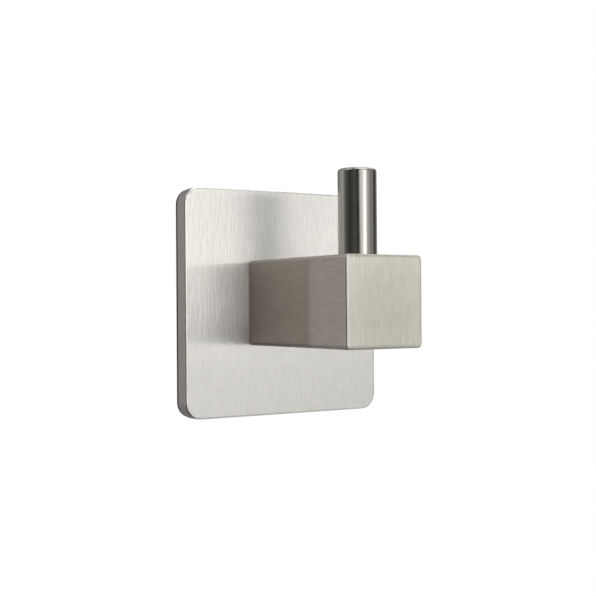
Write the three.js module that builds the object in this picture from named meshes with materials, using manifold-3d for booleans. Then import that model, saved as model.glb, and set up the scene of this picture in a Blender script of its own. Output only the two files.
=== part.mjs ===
// Coat hook in brushed stainless steel: a square plate that sticks to the wall, a square arm that stands
// out of it and a round peg that stands up from the arm's front end.
// Millimetres, +Z up. The wall is the plane y = 0 and the hook stands out from it along -Y.
// The origin is the centre of the foam tape's wall face.

import * as THREE from "three";
import { RoundedBoxGeometry } from "three/addons/geometries/RoundedBoxGeometry.js";
import { mergeVertices } from "three/addons/utils/BufferGeometryUtils.js";
import Module from "manifold-3d";

// Plate and the tape that holds it to the wall
const plateSide = 50;
const plateThickness = 3.7;
const plateCornerRadius = 3.6;
const plateRimRadius = 0.25;
const tapeThickness = 0.8;
const tapeInset = 0.1;

// Arm, a square bar with its front face at armReach from the wall
const armSide = 18.7;
const armReach = 41.6;
const armEdgeRadius = 0.5;

// Peg, a round bar that stands on the arm with its axis at pegSetback behind the arm's front face
const pegDiameter = 8;
const pegHeight = 17.8;
const pegRimRadius = 0.4;
const pegSetback = 9.1;

// Two countersunk screws through the plate into the arm, one above the other
const screwDiameter = 4;
const screwPitch = 0.7;
const screwLength = 14;
const screwSpacing = 10;
const screwHeadDiameter = 8;
const screwHeadRim = 0.3;
const screwHeadRecess = 0.2;
const screwSocketWidth = 2.5;
const screwSocketDepth = 1.5;

// Headless stud that joins the peg to the arm
const studDiameter = 5;
const studPitch = 0.8;
const studLength = 14;
const studSocketWidth = 2.5;
const studSocketDepth = 2.5;

// Fits: gap round a screw or a stud, and spare depth past its end
const boreClearance = 0.15;
const boreSpare = 1;

// Roundness of the facets
const cornerSegments = 6;
const edgeSegments = 3;
const roundSegments = 40;
const boreSegments = 24;
const threadSteps = 12;

// Metric thread: depth, and where the root and crest flats lie, as shares of the pitch
const threadDepthShare = 0.6134;
const rootFlatEnd = 0.25;
const crestFlatStart = 0.5625;
const crestFlatEnd = 0.6875;

// A cutter reaches this far past the face that it opens, and a drill's point has this half angle
const cutOver = 1;
const drillPointHalfAngle = THREE.MathUtils.degToRad(59);

// Places along z, out from the wall, in the layout frame where +y is up
const plateBack = tapeThickness;
const plateFront = plateBack + plateThickness;
const pegAxis = armReach - pegSetback;
const armTop = armSide / 2;
const screwHeadHeight = screwHeadRim + (screwHeadDiameter - screwDiameter) / 2;
const screwTop = plateBack + screwHeadRecess;
const screwHeights = { upper: screwSpacing / 2, lower: -screwSpacing / 2 };
const studGrip = studLength / 2;

const wasm = await Module();
wasm.setup();

// A closed geometry as a solid: vertices merged, triangles that shrank to a line left out.
function toSolid(geometry) {
  const bare = geometry.clone();
  bare.deleteAttribute("normal");
  bare.deleteAttribute("uv");
  const merged = mergeVertices(bare);
  const corners = [];
  for (let i = 0; i < merged.index.count; i += 3) {
    const [a, b, c] = [0, 1, 2].map((k) => merged.index.getX(i + k));
    if (a !== b && b !== c && c !== a) corners.push(a, b, c);
  }
  return new wasm.Manifold(new wasm.Mesh({
    numProp: 3,
    vertProperties: new Float32Array(merged.attributes.position.array),
    triVerts: new Uint32Array(corners),
  }));
}

function toGeometry(solid) {
  const { vertProperties, triVerts } = solid.getMesh();
  const geometry = new THREE.BufferGeometry();
  geometry.setAttribute("position", new THREE.BufferAttribute(new Float32Array(vertProperties), 3));
  geometry.setIndex(new THREE.BufferAttribute(new Uint32Array(triVerts), 1));
  geometry.computeVertexNormals();
  return geometry;
}

// A square with round corners, centred on the origin.
function roundedSquare(side, radius) {
  const middle = side / 2 - radius;
  const quarter = Math.PI / 2;
  const outline = new THREE.Shape();
  outline.absarc(middle, middle, radius, 0, quarter);
  outline.absarc(-middle, middle, radius, quarter, 2 * quarter);
  outline.absarc(-middle, -middle, radius, 2 * quarter, 3 * quarter);
  outline.absarc(middle, -middle, radius, 3 * quarter, 4 * quarter);
  outline.closePath();
  return outline;
}

// A turned shape round the y axis, from [radius, height] pairs that rise.
function turned(profile, segments) {
  const points = profile.map(([radius, height]) => new THREE.Vector2(radius, height));
  return new THREE.LatheGeometry(points, segments);
}

// The height of the cone that a drill leaves at the end of its hole.
function drillPoint(radius) {
  return radius / Math.tan(drillPointHalfAngle);
}

// A right-hand helical thread along +y that covers y = 0 to length and runs past both ends.
function helix(diameter, pitch, length) {
  const crest = diameter / 2;
  const root = crest - threadDepthShare * pitch;
  const profile = [[0, root], [rootFlatEnd, root], [crestFlatStart, crest], [crestFlatEnd, crest]];
  const runPast = 1.5;
  const turns = Math.ceil(length / pitch + 2 * runPast);
  const sections = turns * threadSteps;
  const points = [];
  const place = (section, [along, radius]) => {
    const turn = section / threadSteps;
    const angle = 2 * Math.PI * turn;
    points.push(radius * Math.sin(angle), (turn + along - runPast) * pitch, radius * Math.cos(angle));
  };
  for (let section = 0; section <= sections; section += 1) {
    profile.forEach((point) => place(section, point));
  }
  for (let section = sections + 1; section <= sections + threadSteps; section += 1) {
    place(section, profile[0]);
  }

  // The end of one turn's profile is the start of the next turn's.
  const count = profile.length;
  const at = (section, k) => {
    if (k === count) return at(section + threadSteps, 0);
    return section <= sections ? section * count + k : sections * (count - 1) + section + count - 1;
  };
  const faces = [];
  for (let section = 0; section < sections; section += 1) {
    for (let k = 0; k < count; k += 1) {
      const [a, b] = [at(section, k), at(section + 1, k)];
      const [c, d] = [at(section + 1, k + 1), at(section, k + 1)];
      faces.push(a, b, c, a, c, d);
    }
  }

  // Each end is closed by a fan from a point on the axis.
  const bottom = points.length / 3;
  const top = bottom + 1;
  points.push(0, (0.5 - runPast) * pitch, 0, 0, (turns + 0.5 - runPast) * pitch, 0);
  for (let step = 0; step < threadSteps; step += 1) {
    faces.push(bottom, at(step + 1, 0), at(step, 0));
    faces.push(top, at(sections + step, 0), at(sections + step + 1, 0));
  }
  for (let k = 0; k < count; k += 1) {
    faces.push(bottom, at(0, k), at(0, k + 1));
    faces.push(top, at(sections, k + 1), at(sections, k));
  }
  const geometry = new THREE.BufferGeometry();
  geometry.setAttribute("position", new THREE.Float32BufferAttribute(points, 3));
  geometry.setIndex(faces);
  return geometry;
}

// A threaded rod along +y from y = 0 to length, its thread run out to a chamfer at both ends.
function threadedRod(diameter, pitch, length) {
  const outside = diameter / 2 + boreClearance / 2;
  const chamfer = pitch;
  const blank = turned([
    [0, 0],
    [outside - chamfer, 0],
    [outside, chamfer],
    [outside, length - chamfer],
    [outside - chamfer, length],
    [0, length],
  ], boreSegments);
  return toSolid(helix(diameter, pitch, length)).intersect(toSolid(blank));
}

// The cutter for a hexagon socket that opens at y = mouth, towards -y or +y, and runs depth into the metal.
function hexSocket(width, depth, mouth, openTowards) {
  const radius = width / Math.sqrt(3);
  const geometry = new THREE.CylinderGeometry(radius, radius, depth + cutOver, 6);
  return geometry.translate(0, mouth + openTowards * (cutOver - depth) / 2, 0);
}

// The space for a screw at that height: a countersunk mouth in the plate's back and a hole on into the arm.
function screwSpace(height) {
  const mouthRadius = screwHeadDiameter / 2 + boreClearance;
  const boreRadius = screwDiameter / 2 + boreClearance;
  const rimDepth = screwHeadRecess + screwHeadRim;
  const boreDepth = screwHeadRecess + screwLength + boreSpare;
  const space = turned([
    [0, -cutOver],
    [mouthRadius, -cutOver],
    [mouthRadius, rimDepth],
    [boreRadius, rimDepth + mouthRadius - boreRadius],
    [boreRadius, boreDepth],
    [0, boreDepth + drillPoint(boreRadius)],
  ], boreSegments);
  return space.rotateX(Math.PI / 2).translate(0, height, plateBack);
}

// The space for the stud below the arm's top.
function studSpace() {
  const boreRadius = studDiameter / 2 + boreClearance;
  const boreDepth = studGrip + boreSpare;
  const space = turned([
    [0, -boreDepth - drillPoint(boreRadius)],
    [boreRadius, -boreDepth],
    [boreRadius, cutOver],
    [0, cutOver],
  ], boreSegments);
  return space.translate(0, armTop, pegAxis);
}

function foamTape() {
  const outline = roundedSquare(plateSide - 2 * tapeInset, plateCornerRadius - tapeInset);
  return new THREE.ExtrudeGeometry(outline, {
    depth: tapeThickness,
    curveSegments: cornerSegments,
    bevelEnabled: false,
  });
}

function backPlate() {
  const plate = new THREE.ExtrudeGeometry(roundedSquare(plateSide, plateCornerRadius), {
    depth: plateThickness - 2 * plateRimRadius,
    curveSegments: cornerSegments,
    bevelEnabled: true,
    bevelSize: plateRimRadius,
    bevelOffset: -plateRimRadius,
    bevelThickness: plateRimRadius,
    bevelSegments: edgeSegments,
  });
  let solid = toSolid(plate.translate(0, 0, plateBack + plateRimRadius));
  Object.values(screwHeights).forEach((height) => {
    solid = solid.subtract(toSolid(screwSpace(height)));
  });
  return toGeometry(solid);
}

function arm() {
  const buried = armEdgeRadius + cutOver;
  const barLength = armReach - plateFront + buried;
  const bar = new RoundedBoxGeometry(armSide, armSide, barLength, edgeSegments, armEdgeRadius);
  const behind = new THREE.BoxGeometry(2 * armSide, 2 * armSide, 2 * buried);
  let solid = toSolid(bar.translate(0, 0, armReach - barLength / 2));
  solid = solid.subtract(toSolid(behind.translate(0, 0, plateFront - buried)));
  Object.values(screwHeights).forEach((height) => {
    solid = solid.subtract(toSolid(screwSpace(height)));
  });
  return toGeometry(solid.subtract(toSolid(studSpace())));
}

// The peg stands on y = 0, with the stud's hole drilled up into it.
function peg() {
  const radius = pegDiameter / 2;
  const boreRadius = studDiameter / 2 + boreClearance;
  const boreDepth = studGrip + boreSpare;
  const profile = [
    [0, boreDepth + drillPoint(boreRadius)],
    [boreRadius, boreDepth],
    [boreRadius, 0],
    [radius, 0],
  ];
  for (let step = 0; step <= edgeSegments; step += 1) {
    const angle = (step / edgeSegments) * (Math.PI / 2);
    const inwards = pegRimRadius * (1 - Math.cos(angle));
    const below = pegRimRadius * (1 - Math.sin(angle));
    profile.push([radius - inwards, pegHeight - below]);
  }
  profile.push([0, pegHeight]);
  return toGeometry(toSolid(turned(profile, roundSegments)));
}

// Countersunk screw along +y with the top of its head at y = 0.
function armScrew() {
  const headRadius = screwHeadDiameter / 2;
  const head = turned([
    [0, 0],
    [headRadius, 0],
    [headRadius, screwHeadRim],
    [screwDiameter / 2, screwHeadHeight],
    [0, screwHeadHeight],
  ], boreSegments);
  const rodStart = screwHeadRim;
  const rod = threadedRod(screwDiameter, screwPitch, screwLength - rodStart).translate([0, rodStart, 0]);
  const socket = hexSocket(screwSocketWidth, screwSocketDepth, 0, -1);
  return toGeometry(toSolid(head).add(rod).subtract(toSolid(socket)));
}

// Headless stud along +y, half in the arm and half in the peg, with its socket at the top.
function pegStud() {
  const rod = threadedRod(studDiameter, studPitch, studLength);
  const socket = hexSocket(studSocketWidth, studSocketDepth, studLength, 1);
  return toGeometry(rod.subtract(toSolid(socket)).translate([0, -studGrip, 0]));
}

const plateSteel = { color: 0xd2cec6, roughness: 0.38, metalness: 1 };
const barSteel = { color: 0xc4c0b7, roughness: 0.34, metalness: 1 };
const pegSteel = { color: 0xb8b5ae, roughness: 0.22, metalness: 1 };
const screwSteel = { color: 0x9c9a95, roughness: 0.3, metalness: 1 };
const foam = { color: 0x3a3a3c, roughness: 0.9, metalness: 0 };

function piece(name, geometry, finish) {
  const mesh = new THREE.Mesh(geometry, new THREE.MeshStandardMaterial({ ...finish, flatShading: true }));
  mesh.name = name;
  return mesh;
}

// The layout frame has +z out from the wall and +y up, and is turned so that up is +Z.
const hook = new THREE.Group();
hook.rotation.x = Math.PI / 2;
hook.add(piece("foam_tape", foamTape(), foam));
hook.add(piece("back_plate", backPlate(), plateSteel));
hook.add(piece("arm", arm(), barSteel));

Object.entries(screwHeights).forEach(([place, height]) => {
  const screw = piece(`arm_screw_${place}`, armScrew(), screwSteel);
  screw.position.set(0, height, screwTop);
  screw.rotation.x = Math.PI / 2;
  hook.add(screw);
});

const pegGroup = new THREE.Group();
pegGroup.position.set(0, armTop, pegAxis);
pegGroup.add(piece("peg", peg(), pegSteel));
pegGroup.add(piece("peg_stud", pegStud(), screwSteel));
hook.add(pegGroup);

export default hook;
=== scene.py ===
import math

import bmesh
import bpy
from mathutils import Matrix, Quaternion, Vector


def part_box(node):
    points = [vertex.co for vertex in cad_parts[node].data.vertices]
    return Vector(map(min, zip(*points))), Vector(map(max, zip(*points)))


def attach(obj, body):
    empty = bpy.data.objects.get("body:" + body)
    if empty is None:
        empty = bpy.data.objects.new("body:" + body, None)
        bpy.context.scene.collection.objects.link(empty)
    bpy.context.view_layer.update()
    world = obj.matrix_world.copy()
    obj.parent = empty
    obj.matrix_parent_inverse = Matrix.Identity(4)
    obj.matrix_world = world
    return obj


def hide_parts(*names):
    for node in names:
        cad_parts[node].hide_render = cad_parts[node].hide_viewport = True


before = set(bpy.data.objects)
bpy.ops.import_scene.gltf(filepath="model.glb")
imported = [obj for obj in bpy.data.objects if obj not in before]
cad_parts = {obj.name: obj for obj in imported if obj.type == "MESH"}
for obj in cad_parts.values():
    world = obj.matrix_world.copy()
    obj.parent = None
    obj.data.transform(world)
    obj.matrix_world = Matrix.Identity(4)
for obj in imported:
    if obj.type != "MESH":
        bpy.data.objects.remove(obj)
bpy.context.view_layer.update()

MM = 0.001
AXIS_Y = 1
AXIS_Z = 2

# Camera: where it looks, from where, and the lens for a square picture
AIM = Vector((-3.229, -15.0, 0.98)) * MM
VIEW_AZIMUTH = math.radians(-32.96)
VIEW_PITCH = math.radians(-0.37)
VIEW_ROLL = math.radians(0.4)
VIEW_DISTANCE = 240.2 * MM
LENS = 67.27
SENSOR_WIDTH = 36.0
NEAREST_SEEN = 10.0 * MM

# Plate: round corners, a front rim that rolls over softly and a plain broken edge at the back
PLATE_CORNER_RADIUS = 3.6 * MM
PLATE_RIM_WIDTH = 0.4 * MM
PLATE_RIM_DROP = 0.22 * MM
PLATE_RIM_RINGS = 8
PLATE_BACK_RIM_RADIUS = 0.25 * MM

# Foam tape
TAPE_CORNER_RADIUS = 3.5 * MM
TAPE_RIM_RADIUS = 0.08 * MM
TAPE_RIM_SEGMENTS = 3

# Arm: rounded long edges, a small front edge and a front face that rolls off towards that edge
ARM_LONG_EDGE_RADIUS = 0.9 * MM
ARM_FRONT_EDGE_RADIUS = 0.3 * MM
ARM_ROLL_WIDTH = 0.55 * MM
ARM_ROLL_DROP = 0.045 * MM
ARM_HALF_WIDTH = 9.35 * MM

# Peg: rounded rim and a fine broken edge at its foot
PEG_RIM_RADIUS = 0.65 * MM
PEG_FOOT_RADIUS = 0.12 * MM
PEG_FOOT_SEGMENTS = 2

# Holes for the hidden screws and the stud, with their clearance
HOLE_CLEARANCE = 0.15 * MM
SCREW_DIAMETER = 4.0 * MM
SCREW_HEAD_RIM = 0.3 * MM
HOLE_SPARE_DEPTH = 1.0 * MM
CUT_OVER = 1.0 * MM

# Roundness of the facets, and the steepest angle between two of them that is shaded as one surface
CORNER_SEGMENTS = 16
RIM_SEGMENTS = 6
PEG_SIDES = 128
HOLE_SIDES = 48
SMOOTH_ANGLE = math.radians(40)

# Where nearly all of a noise pattern's values lie
PATTERN_LOW = 0.3
PATTERN_HIGH = 0.7

# Brushed steel: streaks of two sizes and specks, as shares of the fine streaks' frequencies
BROAD_ACROSS = 0.4
BROAD_LENGTHWISE = 0.45
SPECKS_ACROSS = 0.7

# Brushed steel: how much the broad streaks and the specks add to its colour and its relief
BROAD_IN_COLOUR = 0.4
SPECKS_IN_COLOUR = 0.3
BROAD_IN_RELIEF = 0.6

# Brushed steel: painted light on a square face, where it starts as a share of the way to the edge, and how
# much it darkens the middle and lightens the edges
PAINTED_LIGHT_FROM = 0.4
PAINTED_SHADE_MIDDLE = 0.965
PAINTED_LIGHT_EDGE = 1.055

# Soft clouds in the steel, per metre, and how much they change the roughness
CLOUDS = 330.0
CLOUD_ROUGHNESS = 0.02

# Turned steel: rings from the lathe, per metre, and how much they and the clouds shade the colour
RINGS_APART = 6200.0
RINGS_ROUND = 260.0
RING_RELIEF = 8e-7
RING_SHADE = 0.04
TURNED_MOTTLE = 0.03
QUARTER_TURN = 0.25

# Plain steel: specks and clouds, per metre, and how much they shade the colour and change the roughness
PLAIN_SPECKS = 2600.0
PLAIN_CLOUDS = 420.0
PLAIN_SPECK_SHADE = 0.05
PLAIN_MOTTLE = 0.06
PLAIN_ROUGHNESS = 0.04

# Foam: cells and clouds, per metre, with its darkest and lightest colour
FOAM_CELLS = 5200.0
FOAM_CLOUDS = 260.0
FOAM_DARK = (0.030, 0.030, 0.032)
FOAM_LIGHT = (0.052, 0.052, 0.055)
FOAM_CELL_SHADE = 0.25
FOAM_SMOOTHEST = 0.5
FOAM_ROUGHEST = 0.8
FOAM_RELIEF = 3e-5
FOAM_RELIEF_STRENGTH = 0.6

# Studio: a floor far below, a dome of walls that only reflections show, and soft boxes inside it
FLOOR_DROP = 1.0
FLOOR_RADIUS = 3.0
FLOOR_SIDES = 96
FLOOR_GREY = 0.9
FLOOR_ROUGHNESS = 0.9
FLOOR_GLOW = 0.5
ROOM_LIGHT = 0.6
SURROUND_RADIUS = 0.95
SURROUND_SEGMENTS = 96
SURROUND_RINGS = 48
CEILING_FROM = math.radians(35)
CEILING_TO = math.radians(65)
FLOOR_FROM = math.radians(-8)
FLOOR_TO = math.radians(-16)
LAMP_DISTANCE = 0.8

# Brightness of the dome's walls by azimuth in degrees: 0 is straight in front of the plate, 90 to the right
WALL_LEVELS = (
    (-180.0, 0.2),
    (-150.0, 0.6),
    (-125.0, 0.65),
    (-110.0, 0.2),
    (-80.0, 0.05),
    (-45.0, 0.15),
    (-28.0, 0.0),
    (-12.0, 0.4),
    (34.0, 0.8),
    (45.0, 0.35),
    (60.0, 0.5),
    (80.0, 0.0),
    (105.0, 0.3),
    (135.0, 0.8),
    (180.0, 0.2),
)

# Brightness of the dome below the walls, and of its top
FLOOR_LEVELS = (
    (-180.0, 0.3),
    (-145.0, 0.4),
    (-110.0, 0.1),
    (-80.0, 0.0),
    (-15.0, 0.0),
    (10.0, 0.3),
    (25.0, 0.65),
    (45.0, 0.6),
    (75.0, 0.45),
    (135.0, 0.4),
    (180.0, 0.3),
)
CEILING_LEVEL = 0.55


# Small tools for modelling by operators

def deselect_everything():
    bpy.ops.object.select_all(action="DESELECT")


def take(piece):
    deselect_everything()
    piece.select_set(True)
    bpy.context.view_layer.objects.active = piece


def named(name):
    """Names the new primitive and moves its place, turn and scale into its mesh."""
    piece = bpy.context.object
    piece.name = name
    piece.data.name = name
    bpy.ops.object.transform_apply(location=True, rotation=True, scale=True)
    return piece


def add_block(name, low, high):
    deselect_everything()
    bpy.ops.mesh.primitive_cube_add(size=1.0, location=(low + high) / 2, scale=high - low)
    return named(name)


def select_parts(piece, kind, wanted):
    """Goes into edit mode with only the edges or faces selected that wanted(part) picks."""
    take(piece)
    bpy.ops.object.mode_set(mode="EDIT")
    bpy.ops.mesh.select_mode(type=kind)
    bpy.ops.mesh.select_all(action="DESELECT")
    mesh = bmesh.from_edit_mesh(piece.data)
    for part in mesh.edges if kind == "EDGE" else mesh.faces:
        part.select_set(wanted(part))
    bmesh.update_edit_mesh(piece.data)


def bevel_edges(piece, wanted, radius, segments):
    """Rounds the edges that wanted(edge) picks."""
    select_parts(piece, "EDGE", wanted)
    bpy.ops.mesh.bevel(offset=radius, segments=segments, profile=0.5, affect="EDGES")
    bpy.ops.object.mode_set(mode="OBJECT")


def raise_face(piece, wanted, places):
    """Raises the face that wanted(face) picks in rings.

    places are (inwards, outwards), both measured from the face's first outline.
    """
    select_parts(piece, "FACE", wanted)
    inwards, outwards = 0.0, 0.0
    for next_in, next_out in places:
        bpy.ops.mesh.inset(thickness=next_in - inwards, depth=next_out - outwards)
        inwards, outwards = next_in, next_out
    bpy.ops.object.mode_set(mode="OBJECT")


def rolled_edge(width, rise, rings):
    """A quarter of an ellipse from a face's edge inwards, width along the face and rise out of it."""
    angles = [math.pi / 2 * (ring + 1) / rings for ring in range(rings)]
    return [(width * (1 - math.cos(angle)), rise * math.sin(angle)) for angle in angles]


def crown(width, rise, rings):
    """A shallow arch from a face's edge inwards, level at the end of its width."""
    shares = [(ring + 1) / rings for ring in range(rings)]
    return [(width * share, rise * (1 - (1 - share) ** 2)) for share in shares]


def runs_along(edge, axis):
    start, end = (vertex.co for vertex in edge.verts)
    step = end - start
    return abs(step[axis]) > 0.999 * step.length


def lies_at(edge, axis, place):
    near = 1e-6
    return all(abs(vertex.co[axis] - place) < near for vertex in edge.verts)


def faces_front(face):
    return face.normal.y < -0.9


def cut_with_active(piece):
    """Takes the active primitive's shape out of the piece."""
    cutter = bpy.context.object
    take(piece)
    cut = piece.modifiers.new("hole", "BOOLEAN")
    cut.operation = "DIFFERENCE"
    cut.solver = "EXACT"
    cut.object = cutter
    bpy.ops.object.modifier_apply(modifier=cut.name)
    bpy.data.objects.remove(cutter)


def drill(piece, start, end, radius):
    """A round hole from the point start to the point end."""
    deselect_everything()
    turn = (end - start).to_track_quat("Z", "Y").to_euler()
    bpy.ops.mesh.primitive_cylinder_add(
        vertices=HOLE_SIDES, radius=radius, depth=(end - start).length,
        location=(start + end) / 2, rotation=turn
    )
    cut_with_active(piece)


def countersink(piece, start, end, wide, narrow):
    """A conical mouth from the point start, where it is wide, to the point end."""
    deselect_everything()
    turn = (end - start).to_track_quat("Z", "Y").to_euler()
    bpy.ops.mesh.primitive_cone_add(
        vertices=HOLE_SIDES, radius1=wide, radius2=narrow, depth=(end - start).length,
        location=(start + end) / 2, rotation=turn
    )
    cut_with_active(piece)


def smooth(piece):
    """Smooth shading in which flat faces stay flat right up to their rounded edges."""
    take(piece)
    bpy.ops.object.shade_smooth_by_angle(angle=SMOOTH_ANGLE)
    weighted = piece.modifiers.new("even shading", "WEIGHTED_NORMAL")
    weighted.mode = "FACE_AREA"
    weighted.weight = 100
    weighted.keep_sharp = True
    bpy.ops.object.modifier_apply(modifier=weighted.name)


def corners_of(node):
    low, high = (Vector(corner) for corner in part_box(node))
    return low, high


def middle_of(node):
    low, high = corners_of(node)
    return (low + high) / 2


# Pieces

def screw_places():
    """For each screw: the middle of its head's face, the radius of its head, and the depth of its hole."""
    for node in ("arm_screw_upper", "arm_screw_lower"):
        low, high = corners_of(node)
        middle = middle_of(node)
        head = Vector((middle.x, high.y, middle.z))
        yield head, (high.x - low.x) / 2, high.y - low.y + HOLE_SPARE_DEPTH


def make_plate():
    low, high = corners_of("back_plate")
    plate = add_block("plate_skin", low + Vector((0.0, PLATE_RIM_DROP, 0.0)), high)
    bevel_edges(plate, lambda e: runs_along(e, AXIS_Y), PLATE_CORNER_RADIUS, CORNER_SEGMENTS)
    bevel_edges(plate, lambda e: lies_at(e, AXIS_Y, high.y), PLATE_BACK_RIM_RADIUS, RIM_SEGMENTS)
    raise_face(plate, faces_front, rolled_edge(PLATE_RIM_WIDTH, PLATE_RIM_DROP, PLATE_RIM_RINGS))
    bore = SCREW_DIAMETER / 2 + HOLE_CLEARANCE
    for head, head_radius, depth in screw_places():
        mouth = head_radius + HOLE_CLEARANCE
        rim_end = head + Vector((0.0, -SCREW_HEAD_RIM, 0.0))
        cone_end = rim_end + Vector((0.0, bore - mouth, 0.0))
        drill(plate, head + Vector((0.0, CUT_OVER, 0.0)), rim_end, mouth)
        countersink(plate, rim_end, cone_end, mouth, bore)
        drill(plate, rim_end, head + Vector((0.0, -depth, 0.0)), bore)
    smooth(plate)
    return plate


def make_tape():
    low, high = corners_of("foam_tape")
    tape = add_block("tape_skin", low, high)
    bevel_edges(tape, lambda e: runs_along(e, AXIS_Y), TAPE_CORNER_RADIUS, CORNER_SEGMENTS)
    for place in (low.y, high.y):
        bevel_edges(tape, lambda e: lies_at(e, AXIS_Y, place), TAPE_RIM_RADIUS, TAPE_RIM_SEGMENTS)
    smooth(tape)
    return tape


def make_arm():
    low, high = corners_of("arm")
    edge = rolled_edge(ARM_FRONT_EDGE_RADIUS, ARM_FRONT_EDGE_RADIUS, RIM_SEGMENTS)
    edge_in, edge_out = edge[-1]
    arch = crown(ARM_ROLL_WIDTH, ARM_ROLL_DROP, RIM_SEGMENTS)
    roll = [(edge_in + inwards, edge_out + outwards) for inwards, outwards in arch]
    rise = roll[-1][1]
    arm = add_block("arm_skin", low + Vector((0.0, rise, 0.0)), high)
    bevel_edges(arm, lambda e: runs_along(e, AXIS_Y), ARM_LONG_EDGE_RADIUS, RIM_SEGMENTS)
    raise_face(arm, faces_front, edge + roll)
    for head, _, depth in screw_places():
        end = head + Vector((0.0, -depth, 0.0))
        drill(arm, head, end, SCREW_DIAMETER / 2 + HOLE_CLEARANCE)
    stud_low, stud_high = corners_of("peg_stud")
    stud_middle = middle_of("peg_stud")
    foot = Vector((stud_middle.x, stud_middle.y, stud_low.z - HOLE_SPARE_DEPTH))
    mouth = Vector((stud_middle.x, stud_middle.y, high.z + CUT_OVER))
    drill(arm, foot, mouth, (stud_high.x - stud_low.x) / 2 + HOLE_CLEARANCE)
    smooth(arm)
    return arm


def make_peg():
    low, high = corners_of("peg")
    deselect_everything()
    bpy.ops.mesh.primitive_cylinder_add(
        vertices=PEG_SIDES, radius=(high.x - low.x) / 2, depth=high.z - low.z, location=(low + high) / 2
    )
    peg = named("peg_skin")
    bevel_edges(peg, lambda e: lies_at(e, AXIS_Z, high.z), PEG_RIM_RADIUS, RIM_SEGMENTS)
    bevel_edges(peg, lambda e: lies_at(e, AXIS_Z, low.z), PEG_FOOT_RADIUS, PEG_FOOT_SEGMENTS)
    stud_low, stud_high = corners_of("peg_stud")
    stud_middle = middle_of("peg_stud")
    mouth = Vector((stud_middle.x, stud_middle.y, low.z - CUT_OVER))
    end = Vector((stud_middle.x, stud_middle.y, stud_high.z + HOLE_SPARE_DEPTH))
    drill(peg, mouth, end, (stud_high.x - stud_low.x) / 2 + HOLE_CLEARANCE)
    smooth(peg)
    return peg


# Materials

def grey(level):
    return (level, level, level, 1.0)


def scaled(colour, factor):
    return tuple(min(1.0, factor * part) for part in colour)


def even(number):
    """The same number three times, for x, y and z or for a grey."""
    return (number, number, number)


def along(axis, across, lengthwise):
    """Frequencies per metre for streaks that run along the axis x, y or z."""
    return tuple(lengthwise if name == axis else across for name in "xyz")


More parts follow.
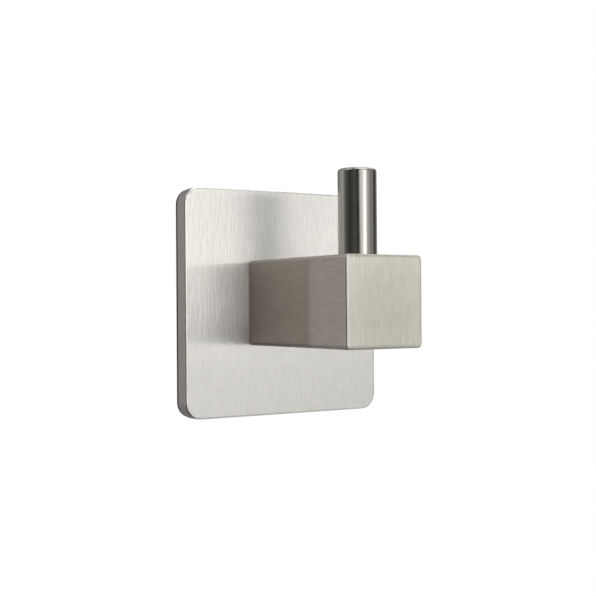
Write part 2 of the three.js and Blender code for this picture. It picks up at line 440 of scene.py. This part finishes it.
class Finish:
    """A new material's node tree, with short ways to add and join nodes."""

    def __init__(self, name):
        self.material = bpy.data.materials.new(name)
        self.material.use_nodes = True
        self.tree = self.material.node_tree
        self.shader = self.tree.nodes["Principled BSDF"]
        self.output = self.tree.nodes["Material Output"]

    def node(self, kind, **settings):
        node = self.tree.nodes.new("ShaderNode" + kind)
        for key, value in settings.items():
            setattr(node, key, value)
        return node

    def link(self, source, target):
        self.tree.links.new(source, target)

    def places(self):
        return self.node("TexCoord").outputs["Object"]

    def stretch(self, places, scale):
        """Places stretched by scale, per metre."""
        mapping = self.node("Mapping")
        mapping.inputs["Scale"].default_value = scale
        self.link(places, mapping.inputs["Vector"])
        return mapping.outputs["Vector"]

    def noise_at(self, places, detail=2.0, roughness=0.5):
        texture = self.node("TexNoise")
        texture.inputs["Scale"].default_value = 1.0
        texture.inputs["Detail"].default_value = detail
        texture.inputs["Roughness"].default_value = roughness
        self.link(places, texture.inputs["Vector"])
        return texture.outputs["Fac"]

    def noise(self, scale, detail=2.0, roughness=0.5):
        return self.noise_at(self.stretch(self.places(), scale), detail, roughness)

    def spread(self, value, low, high, start=PATTERN_LOW, end=PATTERN_HIGH):
        """A pattern that goes from start to end, mapped to run from low to high."""
        mapped = self.node("MapRange")
        for key, number in (("From Min", start), ("From Max", end), ("To Min", low), ("To Max", high)):
            mapped.inputs[key].default_value = number
        self.link(value, mapped.inputs["Value"])
        return mapped.outputs["Result"]

    def mix(self, first, second, share):
        """The pattern first with a share of the pattern second."""
        mixed = self.node("Mix")
        mixed.inputs[0].default_value = share
        self.link(first, mixed.inputs[2])
        self.link(second, mixed.inputs[3])
        return mixed.outputs[0]

    def tint(self, value, dark, light):
        """The colour dark, going over to the colour light as value goes from 0 to 1."""
        mix = self.node("MixRGB")
        mix.inputs["Color1"].default_value = (*dark, 1.0)
        mix.inputs["Color2"].default_value = (*light, 1.0)
        self.link(value, mix.inputs["Fac"])
        return mix.outputs["Color"]

    def mottled(self, colour, cloud, share):
        """The colour, made darker and lighter by a share where the pattern cloud goes down and up."""
        dark = scaled(colour, 1.0 - share)
        light = scaled(colour, 1.0 + share)
        return self.tint(self.spread(cloud, 0.0, 1.0), dark, light)

    def shade(self, colour, value, low, high):
        """A colour pattern made darker or lighter by another pattern, from low to high times."""
        level = self.tint(self.spread(value, 0.0, 1.0), even(low), even(high))
        product = self.node("MixRGB", blend_type="MULTIPLY")
        product.inputs["Fac"].default_value = 1.0
        self.link(colour, product.inputs["Color1"])
        self.link(level, product.inputs["Color2"])
        return product.outputs["Color"]

    def round_levels(self, round_trip, levels):
        """Grey levels set out by azimuth in degrees. round_trip goes from 0 to 1 all the way round."""
        ramp = self.node("ValToRGB")
        stops = ramp.color_ramp.elements
        while len(stops) < len(levels):
            stops.new(0.5)
        for stop, (degrees, level) in zip(stops, levels):
            stop.position = (degrees + 180.0) / 360.0
            stop.color = grey(level)
        self.link(round_trip, ramp.inputs["Fac"])
        return ramp.outputs["Color"]

    def bump(self, height, distance, strength=1.0):
        """Gives the shader a relief of this depth from the pattern height."""
        bump = self.node("Bump")
        bump.inputs["Strength"].default_value = strength
        bump.inputs["Distance"].default_value = distance
        self.link(height, bump.inputs["Height"])
        self.link(bump.outputs["Normal"], self.shader.inputs["Normal"])

    def grain_along(self, axis):
        """Turns the shader's grain along the axis x, y or z."""
        tangent = self.node("Tangent", direction_type="RADIAL", axis=axis.upper())
        self.link(tangent.outputs["Tangent"], self.shader.inputs["Tangent"])

    def satin_metal(self, cloud, roughness, unevenness, anisotropy=0.0):
        """Makes the usual shader a metal whose roughness goes up and down a little with the pattern cloud."""
        self.shader.inputs["Metallic"].default_value = 1.0
        self.shader.inputs["Anisotropic"].default_value = anisotropy
        uneven = self.spread(cloud, roughness - unevenness, roughness + unevenness)
        self.link(uneven, self.shader.inputs["Roughness"])

    def long_grain_mirror(self, across, lengthwise):
        """Takes a mirror as the shader, with grooves of these slopes.

        It blurs what it reflects much more across the grain than lengthwise.
        """
        mirror = self.node("BsdfAnisotropic")
        mirror.inputs["Roughness"].default_value = (across * lengthwise) ** 0.25
        mirror.inputs["Anisotropy"].default_value = math.sqrt(lengthwise / across) - 1.0
        self.link(mirror.outputs[0], self.output.inputs["Surface"])
        self.tree.nodes.remove(self.shader)
        self.shader = mirror


def painted_edge_light(finish, tone, half_width):
    """A square face's colour with painted light: darker in the middle and lighter towards its edges, which
    are half_width from the middle.
    """
    axes = finish.node("SeparateXYZ")
    finish.link(finish.places(), axes.inputs[0])
    for side in ("X", "Z"):
        off_middle = finish.node("Math", operation="ABSOLUTE")
        finish.link(axes.outputs[side], off_middle.inputs[0])
        nearness = finish.spread(
            off_middle.outputs[0], PATTERN_LOW, PATTERN_HIGH, PAINTED_LIGHT_FROM * half_width, half_width
        )
        tone = finish.shade(tone, nearness, PAINTED_SHADE_MIDDLE, PAINTED_LIGHT_EDGE)
    return tone


def brushed_steel(name, colour, axis, across, lengthwise, contrast, relief, mottle,
                  slopes=None, roughness=0.0, anisotropy=0.0, half_width=None):
    """Steel brushed along an axis, with fine and broad streaks in its colour and its relief, and specks.

    across and lengthwise are the fine streaks' frequencies per metre, contrast is their share of the
    brightness, relief is their depth, and mottle is the share of soft clouds. With slopes it is a mirror with
    a long grain, and without them a satin metal with this roughness and anisotropy. half_width is given for a
    square face with painted light, darker in the middle and lighter towards its edges.
    """
    finish = Finish(name)
    fine = finish.noise(along(axis, across, lengthwise), roughness=0.6)
    broad = finish.noise(along(axis, BROAD_ACROSS * across, BROAD_LENGTHWISE * lengthwise))
    specks = finish.noise(even(SPECKS_ACROSS * across), detail=1.0)
    cloud = finish.noise(even(CLOUDS))
    streaks = finish.mix(finish.mix(fine, broad, BROAD_IN_COLOUR), specks, SPECKS_IN_COLOUR)
    tone = finish.mottled(colour, cloud, mottle)
    tone = finish.shade(tone, streaks, 1.0 - contrast, 1.0 + contrast)
    # Painted light: the face's colour is darkened in its middle and lightened towards its edges
    if half_width:
        tone = painted_edge_light(finish, tone, half_width)
    if slopes:
        finish.long_grain_mirror(*slopes)
        finish.link(tone, finish.shader.inputs["Color"])
    else:
        finish.satin_metal(cloud, roughness, CLOUD_ROUGHNESS, anisotropy)
        finish.link(tone, finish.shader.inputs["Base Color"])
    finish.bump(finish.mix(fine, broad, BROAD_IN_RELIEF), relief)
    finish.grain_along(axis)
    return finish.material


def turned_steel(name, colour, roughness, anisotropy, middle):
    """Steel with fine rings from a lathe round an upright axis through the point middle."""
    finish = Finish(name)
    shifted = finish.node("Mapping")
    shifted.inputs["Location"].default_value = (-middle.x, -middle.y, 0.0)
    finish.link(finish.places(), shifted.inputs["Vector"])
    axes = finish.node("SeparateXYZ")
    finish.link(shifted.outputs["Vector"], axes.inputs[0])
    flat = finish.stretch(shifted.outputs["Vector"], (1.0, 1.0, 0.0))
    radius = finish.node("VectorMath", operation="LENGTH")
    finish.link(flat, radius.inputs[0])
    rings = finish.node("CombineXYZ")
    finish.link(radius.outputs["Value"], rings.inputs["X"])
    finish.link(axes.outputs["X"], rings.inputs["Y"])
    finish.link(axes.outputs["Z"], rings.inputs["Z"])
    streaks = finish.noise_at(finish.stretch(rings.outputs[0], (RINGS_APART, RINGS_ROUND, RINGS_APART)))
    cloud = finish.noise(even(CLOUDS))
    tone = finish.mottled(colour, cloud, TURNED_MOTTLE)
    tone = finish.shade(tone, streaks, 1.0 - RING_SHADE, 1.0 + RING_SHADE)
    finish.link(tone, finish.shader.inputs["Base Color"])
    finish.satin_metal(cloud, roughness, CLOUD_ROUGHNESS, anisotropy)
    finish.shader.inputs["Anisotropic Rotation"].default_value = QUARTER_TURN
    finish.bump(streaks, RING_RELIEF)
    finish.grain_along("z")
    return finish.material


def plain_steel(name, colour, roughness, relief):
    """Steel without a grain, for rounded edges with a painted highlight and for small screws. relief is the
    depth of its specks.
    """
    finish = Finish(name)
    specks = finish.noise(even(PLAIN_SPECKS))
    cloud = finish.noise(even(PLAIN_CLOUDS))
    tone = finish.mottled(colour, cloud, PLAIN_MOTTLE)
    tone = finish.shade(tone, specks, 1.0 - PLAIN_SPECK_SHADE, 1.0 + PLAIN_SPECK_SHADE)
    finish.link(tone, finish.shader.inputs["Base Color"])
    finish.satin_metal(cloud, roughness, PLAIN_ROUGHNESS)
    finish.bump(specks, relief)
    return finish.material


def foam(name):
    """Dark fine-celled foam with a slight sheen from its sticky faces."""
    finish = Finish(name)
    cells = finish.noise(even(FOAM_CELLS), detail=3.0)
    cloud = finish.noise(even(FOAM_CLOUDS), detail=3.0)
    tone = finish.tint(finish.spread(cloud, 0.0, 1.0), FOAM_DARK, FOAM_LIGHT)
    tone = finish.shade(tone, cells, 1.0 - FOAM_CELL_SHADE, 1.0 + FOAM_CELL_SHADE)
    finish.link(tone, finish.shader.inputs["Base Color"])
    finish.link(finish.spread(cells, FOAM_SMOOTHEST, FOAM_ROUGHEST), finish.shader.inputs["Roughness"])
    finish.bump(cells, FOAM_RELIEF, FOAM_RELIEF_STRENGTH)
    return finish.material


def dress(piece, node, slot, *materials):
    """Gives a piece its materials, hides the part node it takes the place of, and puts it under the root
    body. slot is not used.
    """
    for material in materials:
        piece.data.materials.append(material)
    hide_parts(node)
    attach(piece, "root")


def give_material(piece, wanted, material):
    """Gives the faces that wanted(face) picks one of the piece's materials."""
    index = piece.data.materials.find(material.name)
    for face in piece.data.polygons:
        if wanted(face):
            face.material_index = index


def is_plate_side(face):
    return face.normal.y > -0.25


def is_plate_rim(face):
    return -0.98 < face.normal.y < -0.25


def is_arm_end(face):
    return face.normal.y < -0.95


def is_slanted(face):
    return max(abs(part) for part in face.normal) < 0.97


# Studio: white surroundings, floor, dome, lamps and camera

SEEN_RAYS = ("Is Camera Ray", "Is Glossy Ray", "Is Transmission Ray")


def for_seen_rays(tree):
    """1 for the rays that show what they meet, and 0 for those that only carry light."""
    path = tree.nodes.new("ShaderNodeLightPath")
    total = path.outputs[SEEN_RAYS[0]]
    for ray in SEEN_RAYS[1:]:
        larger = tree.nodes.new("ShaderNodeMath")
        larger.operation = "MAXIMUM"
        tree.links.new(total, larger.inputs[0])
        tree.links.new(path.outputs[ray], larger.inputs[1])
        total = larger.outputs[0]
    return total


def make_world():
    """A white background, and a softer light from all sides."""
    world = bpy.data.worlds.new("white studio")
    bpy.context.scene.world = world
    world.use_nodes = True
    tree = world.node_tree
    light = tree.nodes["Background"]
    light.inputs["Color"].default_value = grey(1.0)
    light.inputs["Strength"].default_value = ROOM_LIGHT
    white = tree.nodes.new("ShaderNodeBackground")
    white.inputs["Color"].default_value = grey(1.0)
    white.inputs["Strength"].default_value = 1.0
    choose = tree.nodes.new("ShaderNodeMixShader")
    tree.links.new(for_seen_rays(tree), choose.inputs["Fac"])
    tree.links.new(light.outputs[0], choose.inputs[1])
    tree.links.new(white.outputs[0], choose.inputs[2])
    tree.links.new(choose.outputs[0], tree.nodes["World Output"].inputs["Surface"])


def make_floor():
    """A plain pale floor, which glows a little where it is seen."""
    deselect_everything()
    bpy.ops.mesh.primitive_circle_add(
        vertices=FLOOR_SIDES, radius=FLOOR_RADIUS, fill_type="NGON", location=(0.0, 0.0, -FLOOR_DROP)
    )
    floor = named("floor")
    finish = Finish("pale floor")
    finish.shader.inputs["Base Color"].default_value = grey(FLOOR_GREY)
    finish.shader.inputs["Roughness"].default_value = FLOOR_ROUGHNESS
    glow = finish.node("Emission")
    glow.inputs["Strength"].default_value = FLOOR_GLOW
    both = finish.node("AddShader")
    finish.link(finish.shader.outputs[0], both.inputs[0])
    finish.link(glow.outputs[0], both.inputs[1])
    choose = finish.node("MixShader")
    finish.link(for_seen_rays(finish.tree), choose.inputs["Fac"])
    finish.link(finish.shader.outputs[0], choose.inputs[1])
    finish.link(both.outputs[0], choose.inputs[2])
    finish.link(choose.outputs[0], finish.output.inputs["Surface"])
    floor.data.materials.append(finish.material)


def make_surround():
    """A dome of grey and dark studio walls, which only reflections show."""
    deselect_everything()
    bpy.ops.mesh.primitive_uv_sphere_add(
        segments=SURROUND_SEGMENTS, ring_count=SURROUND_RINGS, radius=SURROUND_RADIUS
    )
    surround = named("surround")
    finish = Finish("studio walls")
    axes = finish.node("SeparateXYZ")
    finish.link(finish.places(), axes.inputs[0])
    front = finish.node("Math", operation="MULTIPLY")
    front.inputs[1].default_value = -1.0
    finish.link(axes.outputs["Y"], front.inputs[0])
    azimuth = finish.node("Math", operation="ARCTAN2")
    finish.link(axes.outputs["X"], azimuth.inputs[0])
    finish.link(front.outputs[0], azimuth.inputs[1])
    round_trip = finish.spread(azimuth.outputs[0], 0.0, 1.0, -math.pi, math.pi)
    height = finish.spread(axes.outputs["Z"], -1.0, 1.0, -SURROUND_RADIUS, SURROUND_RADIUS)
    above = finish.spread(height, 0.0, 1.0, math.sin(CEILING_FROM), math.sin(CEILING_TO))
    below = finish.spread(height, 1.0, 0.0, math.sin(FLOOR_TO), math.sin(FLOOR_FROM))
    with_ceiling = finish.node("MixRGB")
    with_ceiling.inputs["Color2"].default_value = grey(CEILING_LEVEL)
    finish.link(above, with_ceiling.inputs["Fac"])
    finish.link(finish.round_levels(round_trip, WALL_LEVELS), with_ceiling.inputs["Color1"])
    with_floor = finish.node("MixRGB")
    finish.link(below, with_floor.inputs["Fac"])
    finish.link(with_ceiling.outputs["Color"], with_floor.inputs["Color1"])
    finish.link(finish.round_levels(round_trip, FLOOR_LEVELS), with_floor.inputs["Color2"])
    glow = finish.node("Emission")
    finish.link(with_floor.outputs["Color"], glow.inputs["Color"])
    finish.link(glow.outputs[0], finish.output.inputs["Surface"])
    finish.tree.nodes.remove(finish.shader)
    surround.data.materials.append(finish.material)
    surround.visible_camera = False
    surround.visible_diffuse = False
    surround.visible_shadow = False
    surround.visible_transmission = False


def direction(azimuth, elevation):
    """The unit vector from the hook towards an azimuth and elevation in radians."""
    return Vector((
        math.sin(azimuth) * math.cos(elevation),
        -math.cos(azimuth) * math.cos(elevation),
        math.sin(elevation),
    ))


def add_lamp(name, azimuth, elevation, width, height, level):
    """A round soft box that faces the hook, placed by degrees. level is its brightness, where 1 is white."""
    lamp = bpy.data.lights.new(name, "AREA")
    lamp.shape = "ELLIPSE"
    lamp.size = width
    lamp.size_y = height
    area = math.pi / 4 * width * height
    lamp.energy = level * math.pi * area
    towards = direction(math.radians(azimuth), math.radians(elevation))
    holder = bpy.data.objects.new(name, lamp)
    holder.location = towards * LAMP_DISTANCE
    holder.rotation_euler = towards.to_track_quat("Z", "Y").to_euler()
    holder.visible_camera = False
    bpy.context.scene.collection.objects.link(holder)


def make_camera():
    back = direction(VIEW_AZIMUTH, VIEW_PITCH)
    camera = bpy.data.objects.new("camera", bpy.data.cameras.new("camera"))
    camera.data.lens = LENS
    camera.data.sensor_width = SENSOR_WIDTH
    camera.data.clip_start = NEAREST_SEEN
    camera.location = AIM + back * VIEW_DISTANCE
    turned = back.to_track_quat("Z", "Y") @ Quaternion((0.0, 0.0, 1.0), -VIEW_ROLL)
    camera.rotation_euler = turned.to_euler()
    bpy.context.scene.collection.objects.link(camera)
    bpy.context.scene.camera = camera


make_camera()
bpy.context.scene.view_settings.view_transform = "Standard"
make_world()
make_floor()
make_surround()
add_lamp("wide soft box", azimuth=0.0, elevation=11.0, width=0.69, height=0.39, level=1.08)
add_lamp("small soft box", azimuth=7.8, elevation=-4.5, width=0.27, height=0.46, level=1.9)
add_lamp("top soft box", azimuth=20.0, elevation=70.0, width=0.7, height=0.7, level=2.0)
add_lamp("left soft box", azimuth=-95.0, elevation=45.0, width=0.5, height=0.4, level=1.2)
add_lamp("right soft box", azimuth=95.0, elevation=45.0, width=0.5, height=0.4, level=1.2)

plate_steel = brushed_steel(
    "brushed plate steel", (0.82, 0.80, 0.75), "z", across=3800.0, lengthwise=500.0,
    contrast=0.1, relief=8.0e-5, mottle=0.015, slopes=(0.366, 0.018)
)
side_steel = brushed_steel(
    "plate side steel", (0.455, 0.415, 0.40), "z", across=2400.0, lengthwise=300.0,
    contrast=0.14, relief=1.5e-6, mottle=0.04, roughness=0.42
)
arm_steel = brushed_steel(
    "brushed arm steel", (0.425, 0.38, 0.34), "y", across=4400.0, lengthwise=320.0,
    contrast=0.18, relief=3.6e-6, mottle=0.02, slopes=(0.13, 0.006)
)
# The arm's end face gets painted light: darker in its middle, lighter towards its edges
end_steel = brushed_steel(
    "brushed arm end steel", (0.635, 0.61, 0.54), "z", across=3000.0, lengthwise=320.0,
    contrast=0.12, relief=4.0e-6, mottle=0.03, roughness=0.36, anisotropy=1.0, half_width=ARM_HALF_WIDTH
)
rim_steel = plain_steel("bright plate rim steel", (0.82, 0.80, 0.77), roughness=0.22, relief=1e-7)
# Rounded edges of the arm: rougher steel whose colour is lighter than the arm's long faces as a painted
# highlight
highlight_edge_steel = plain_steel("rounded edge steel with painted highlight", (0.55, 0.515, 0.46), roughness=0.5, relief=3e-7)
peg_steel = turned_steel(
    "turned peg steel", (0.405, 0.386, 0.357), roughness=0.2, anisotropy=0.4, middle=middle_of("peg")
)
screw_steel = plain_steel("screw steel", (0.42, 0.41, 0.39), roughness=0.3, relief=1e-6)
tape_foam = foam("foam of the tape")

plate = make_plate()
dress(plate, "back_plate", "plate_steel", plate_steel, side_steel, rim_steel)
give_material(plate, is_plate_side, side_steel)
give_material(plate, is_plate_rim, rim_steel)
tape = make_tape()
dress(tape, "foam_tape", "tape_foam", tape_foam)
arm = make_arm()
dress(arm, "arm", "arm_steel", arm_steel, end_steel, highlight_edge_steel)
give_material(arm, is_arm_end, end_steel)
give_material(arm, is_slanted, highlight_edge_steel)
peg = make_peg()
dress(peg, "peg", "peg_steel", peg_steel)
for name in ("arm_screw_upper", "arm_screw_lower", "peg_stud"):
    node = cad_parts[name]
    node.data.materials.clear()
    node.data.materials.append(screw_steel)
